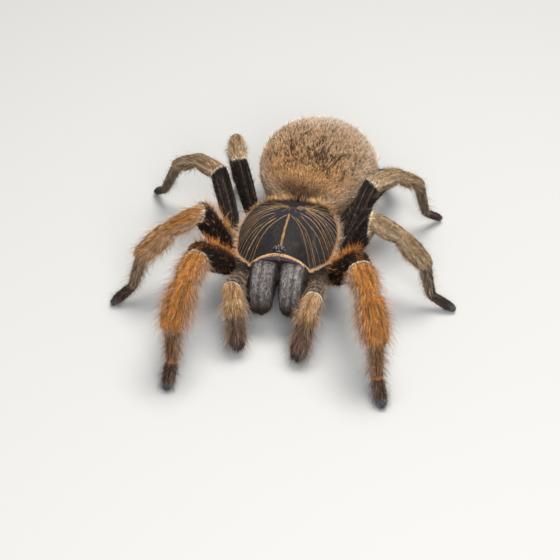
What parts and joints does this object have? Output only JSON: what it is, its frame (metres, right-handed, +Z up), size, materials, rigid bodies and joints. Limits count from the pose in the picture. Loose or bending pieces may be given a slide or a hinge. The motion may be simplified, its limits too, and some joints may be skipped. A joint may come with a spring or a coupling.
{
  "type": "baboon spider tarantula, still model",
  "caption": "Life-size still model of a hairy ground spider standing on its feet, with a round tan abdomen, a dark rayed carapace and orange front legs.",
  "frame": {"origin": "on the ground, at the middle of the box around the whole spider", "axes": "+Z up from the ground; the head faces -Y; the spider's own left side is towards +X"},
  "size_m": [0.0638, 0.0726, 0.0217],
  "materials": {
    "carapace_shell": "blue-black velvet shell with fine golden lines that radiate from a pit near its back",
    "eyes": "black, wet gloss",
    "underside_coat": "short dark brown and grey hair",
    "abdomen_coat": "short dense tan velvet with dark speckles",
    "jaw_coat": "short grey velvet with paler hairs, longer and brown at the lower end",
    "fang_horn": "black glossy horn",
    "orange_coat": "long orange hair with dark lengthwise lines",
    "khaki_coat": "tan and olive hair with pale rings at the joints",
    "black_coat": "black velvet",
    "foot_coat": "dense blue-grey to black pads of hair"
  },
  "bodies": {
    "root": {"carapace": "carapace_shell", "eye_mound": "eyes", "sternum_and_coxae": "underside_coat", "abdomen": "abdomen_coat", "spinneret_right": "abdomen_coat", "spinneret_left": "abdomen_coat", "chelicera_right": "jaw_coat", "fang_right": "fang_horn", "chelicera_left": "jaw_coat", "fang_left": "fang_horn", "leg_1_right_femur": "black_coat", "leg_1_right_patella": "orange_coat", "leg_1_right_tibia": "orange_coat", "leg_1_right_metatarsus": "orange_coat", "leg_1_right_tarsus": "foot_coat", "leg_1_left_femur": "black_coat", "leg_1_left_patella": "orange_coat", "leg_1_left_tibia": "orange_coat", "leg_1_left_metatarsus": "orange_coat", "leg_1_left_tarsus": "foot_coat", "leg_2_right_femur": "black_coat", "leg_2_right_patella": "khaki_coat", "leg_2_right_tibia": "khaki_coat", "leg_2_right_metatarsus": "khaki_coat", "leg_2_right_tarsus": "foot_coat", "leg_2_left_femur": "black_coat", "leg_2_left_patella": "khaki_coat", "leg_2_left_tibia": "khaki_coat", "leg_2_left_metatarsus": "khaki_coat", "leg_2_left_tarsus": "foot_coat", "leg_3_right_femur": "black_coat", "leg_3_right_patella": "khaki_coat", "leg_3_right_tibia": "khaki_coat", "leg_3_right_metatarsus": "khaki_coat", "leg_3_right_tarsus": "foot_coat", "leg_3_left_femur": "black_coat", "leg_3_left_patella": "khaki_coat", "leg_3_left_tibia": "khaki_coat", "leg_3_left_metatarsus": "khaki_coat", "leg_3_left_tarsus": "foot_coat", "leg_4_right_femur": "black_coat", "leg_4_right_patella": "khaki_coat", "leg_4_right_tibia": "khaki_coat", "leg_4_right_metatarsus": "khaki_coat", "leg_4_right_tarsus": "foot_coat", "leg_4_left_femur": "black_coat", "leg_4_left_patella": "khaki_coat", "leg_4_left_tibia": "khaki_coat", "leg_4_left_metatarsus": "khaki_coat", "leg_4_left_tarsus": "foot_coat", "palp_right_femur": "black_coat", "palp_right_patella": "orange_coat", "palp_right_tibia": "orange_coat", "palp_right_tarsus": "orange_coat", "palp_left_femur": "black_coat", "palp_left_patella": "orange_coat", "palp_left_tibia": "orange_coat", "palp_left_tarsus": "orange_coat"}
  },
  "joints": []
}
